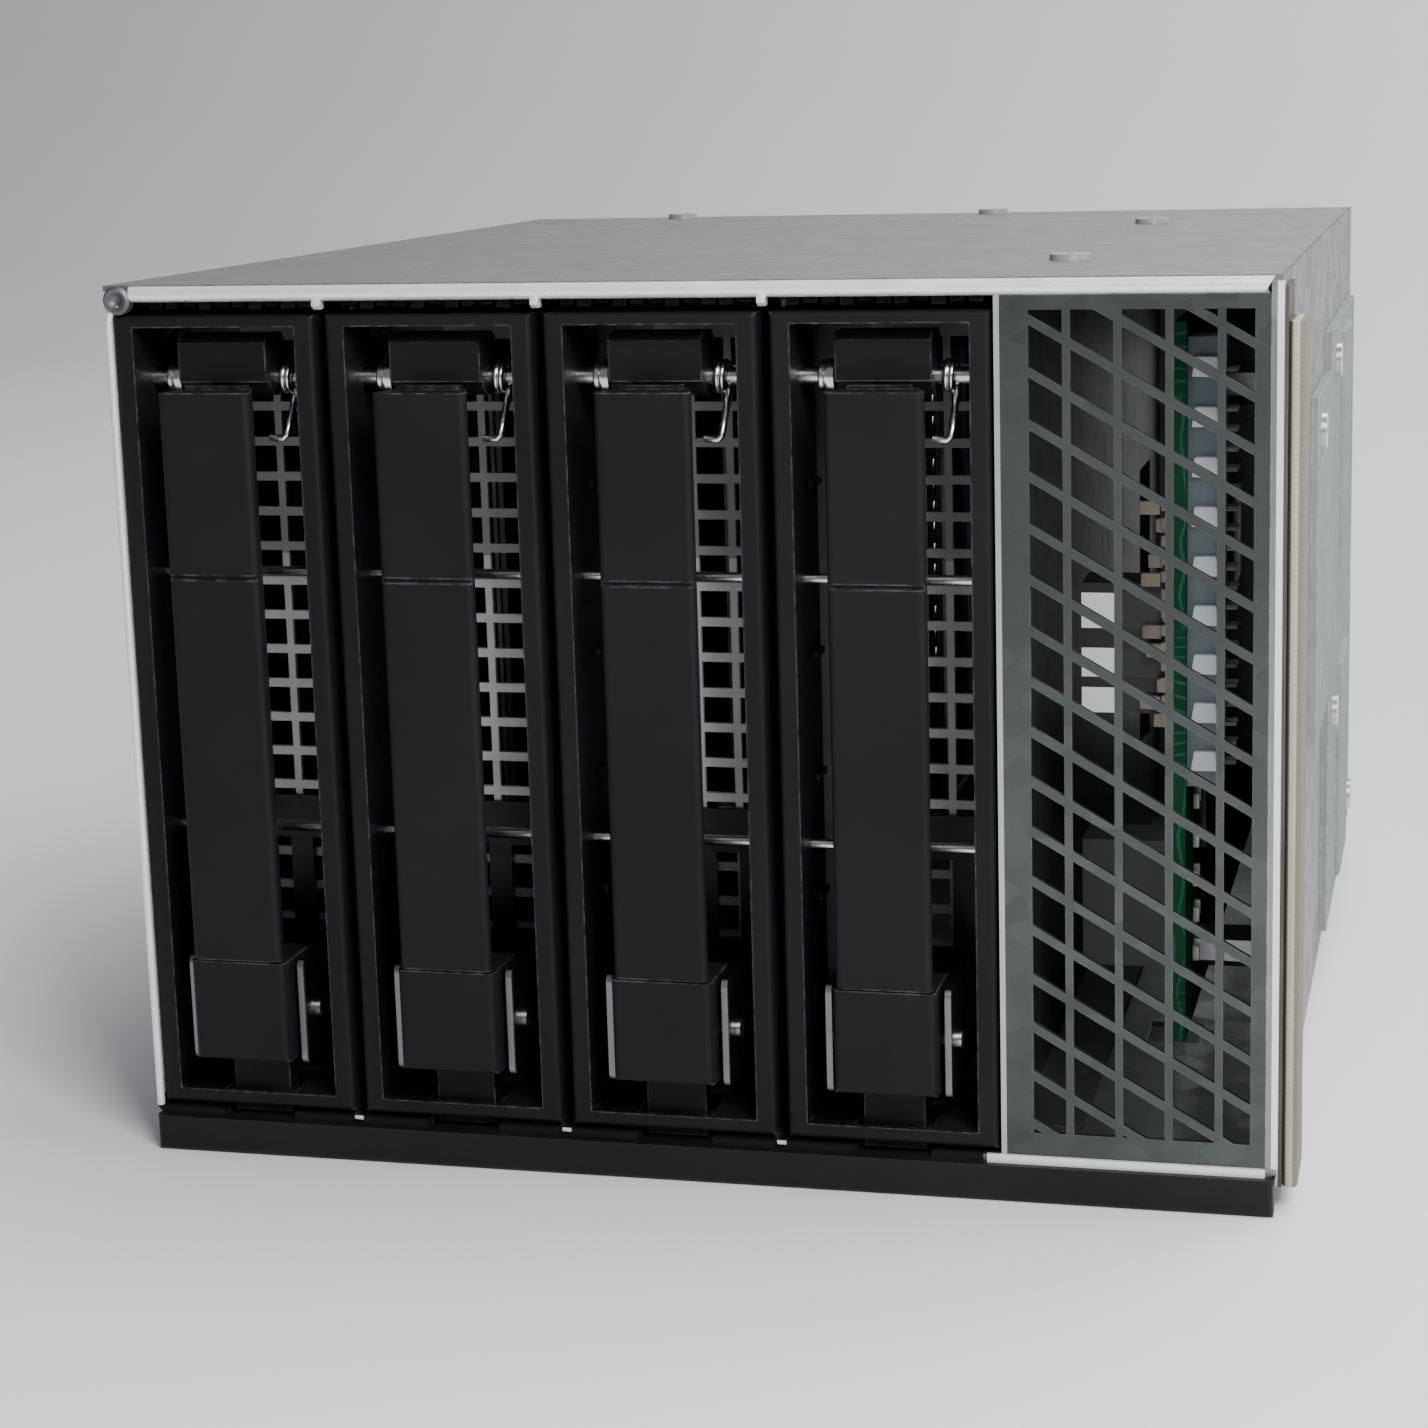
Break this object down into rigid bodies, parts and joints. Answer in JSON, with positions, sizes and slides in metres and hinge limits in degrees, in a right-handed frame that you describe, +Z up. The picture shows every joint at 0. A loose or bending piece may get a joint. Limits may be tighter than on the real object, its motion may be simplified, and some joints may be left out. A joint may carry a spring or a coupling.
{
  "type": "hot swap drive cage",
  "caption": "Galvanised steel hot swap drive cage with upright black lever-latched drive carriers, a slanted-cell vent panel, a cream gasket strip and a backplane inside",
  "frame": {"origin": "on the ground plane, under the middle of the front edge: halfway across the sheet metal cage, in the carriers' front plane, at the underside of the front lip", "axes": "+X across the front to the side with the gasket, +Y from the front into the cage (its longest extent), +Z up (its shortest extent)"},
  "size_m": [0.1534, 0.1925, 0.1178],
  "materials": {
    "galvanised": "galvanised sheet steel, soft grey with a fine spangle",
    "black_steel": "black painted steel, satin",
    "bracket_steel": "bright zinc plated sheet steel",
    "bright_steel": "bright nickel plated steel",
    "screen_steel": "punched plated steel sheet, slightly warm",
    "black_plastic": "fine textured black plastic",
    "gasket_fabric": "cream metallised fabric over foam",
    "tape": "dark adhesive tape",
    "board": "green solder mask over glass fibre board",
    "connector_black": "black moulded connector plastic",
    "connector_white": "off white moulded connector plastic",
    "steel_plain": "zinc plated steel"
  },
  "bodies": {
    "cage": {"base_pan": "galvanised", "top_cover": "galvanised", "rear_panel": "galvanised", "front_lip": "black_steel", "bay_divider_1": "galvanised", "bay_divider_2": "galvanised", "bay_divider_3": "galvanised", "partition_wall": "galvanised", "lower_runners": "black_plastic", "upper_runners": "black_plastic", "vent_panel": "galvanised", "gasket_tape": "tape", "emi_gasket": "gasket_fabric", "side_bracket": "bracket_steel", "pan_head_screws": "bright_steel", "board_standoffs": "steel_plain", "backplane_board": "board", "drive_sockets": "connector_black", "data_connectors": "connector_black", "power_connectors": "connector_white", "backplane_parts": "connector_black", "side_board": "board", "side_board_header": "connector_white", "side_board_power": "connector_white"},
    "carrier_1": {"carrier_1_bezel": "black_plastic", "carrier_1_tray": "steel_plain", "carrier_1_screen": "screen_steel", "carrier_1_hinge_bracket": "bright_steel", "carrier_1_latch_spring": "bright_steel", "carrier_1_pins": "bright_steel"},
    "lever_1": {"carrier_1_lever": "black_plastic", "carrier_1_lever_foot": "black_plastic"},
    "latch_1": {"carrier_1_latch": "black_plastic"},
    "carrier_2": {"carrier_2_bezel": "black_plastic", "carrier_2_tray": "steel_plain", "carrier_2_screen": "screen_steel", "carrier_2_hinge_bracket": "bright_steel", "carrier_2_latch_spring": "bright_steel", "carrier_2_pins": "bright_steel"},
    "lever_2": {"carrier_2_lever": "black_plastic", "carrier_2_lever_foot": "black_plastic"},
    "latch_2": {"carrier_2_latch": "black_plastic"},
    "carrier_3": {"carrier_3_bezel": "black_plastic", "carrier_3_tray": "steel_plain", "carrier_3_screen": "screen_steel", "carrier_3_hinge_bracket": "bright_steel", "carrier_3_latch_spring": "bright_steel", "carrier_3_pins": "bright_steel"},
    "lever_3": {"carrier_3_lever": "black_plastic", "carrier_3_lever_foot": "black_plastic"},
    "latch_3": {"carrier_3_latch": "black_plastic"},
    "carrier_4": {"carrier_4_bezel": "black_plastic", "carrier_4_tray": "steel_plain", "carrier_4_screen": "screen_steel", "carrier_4_hinge_bracket": "bright_steel", "carrier_4_latch_spring": "bright_steel", "carrier_4_pins": "bright_steel"},
    "lever_4": {"carrier_4_lever": "black_plastic", "carrier_4_lever_foot": "black_plastic"},
    "latch_4": {"carrier_4_latch": "black_plastic"}
  },
  "joints": [
    {"name": "carrier_1_slide", "type": "slide", "parent": "cage", "child": "carrier_1", "axis": [0, -1, 0], "range_m": [0, 0.165]},
    {"name": "lever_1_hinge", "type": "hinge", "parent": "carrier_1", "child": "lever_1", "pos_m": [-0.06065, 0.003, 0.02], "axis": [1, 0, 0], "range_deg": [0, 55]},
    {"name": "latch_1_press", "type": "hinge", "parent": "carrier_1", "child": "latch_1", "pos_m": [-0.06065, 0.006, 0.1046], "axis": [-1, 0, 0], "range_deg": [0, 15], "stiffness_Nm_per_rad": 0.02, "springref_deg": -5.73},
    {"name": "carrier_2_slide", "type": "slide", "parent": "cage", "child": "carrier_2", "axis": [0, -1, 0], "range_m": [0, 0.165]},
    {"name": "lever_2_hinge", "type": "hinge", "parent": "carrier_2", "child": "lever_2", "pos_m": [-0.03155, 0.003, 0.02], "axis": [1, 0, 0], "range_deg": [0, 55]},
    {"name": "latch_2_press", "type": "hinge", "parent": "carrier_2", "child": "latch_2", "pos_m": [-0.03155, 0.006, 0.1046], "axis": [-1, 0, 0], "range_deg": [0, 15], "stiffness_Nm_per_rad": 0.02, "springref_deg": -5.73},
    {"name": "carrier_3_slide", "type": "slide", "parent": "cage", "child": "carrier_3", "axis": [0, -1, 0], "range_m": [0, 0.165]},
    {"name": "lever_3_hinge", "type": "hinge", "parent": "carrier_3", "child": "lever_3", "pos_m": [-0.00245, 0.003, 0.02], "axis": [1, 0, 0], "range_deg": [0, 55]},
    {"name": "latch_3_press", "type": "hinge", "parent": "carrier_3", "child": "latch_3", "pos_m": [-0.00245, 0.006, 0.1046], "axis": [-1, 0, 0], "range_deg": [0, 15], "stiffness_Nm_per_rad": 0.02, "springref_deg": -5.73},
    {"name": "carrier_4_slide", "type": "slide", "parent": "cage", "child": "carrier_4", "axis": [0, -1, 0], "range_m": [0, 0.165]},
    {"name": "lever_4_hinge", "type": "hinge", "parent": "carrier_4", "child": "lever_4", "pos_m": [0.02665, 0.003, 0.02], "axis": [1, 0, 0], "range_deg": [0, 55]},
    {"name": "latch_4_press", "type": "hinge", "parent": "carrier_4", "child": "latch_4", "pos_m": [0.02665, 0.006, 0.1046], "axis": [-1, 0, 0], "range_deg": [0, 15], "stiffness_Nm_per_rad": 0.02, "springref_deg": -5.73}
  ]
}
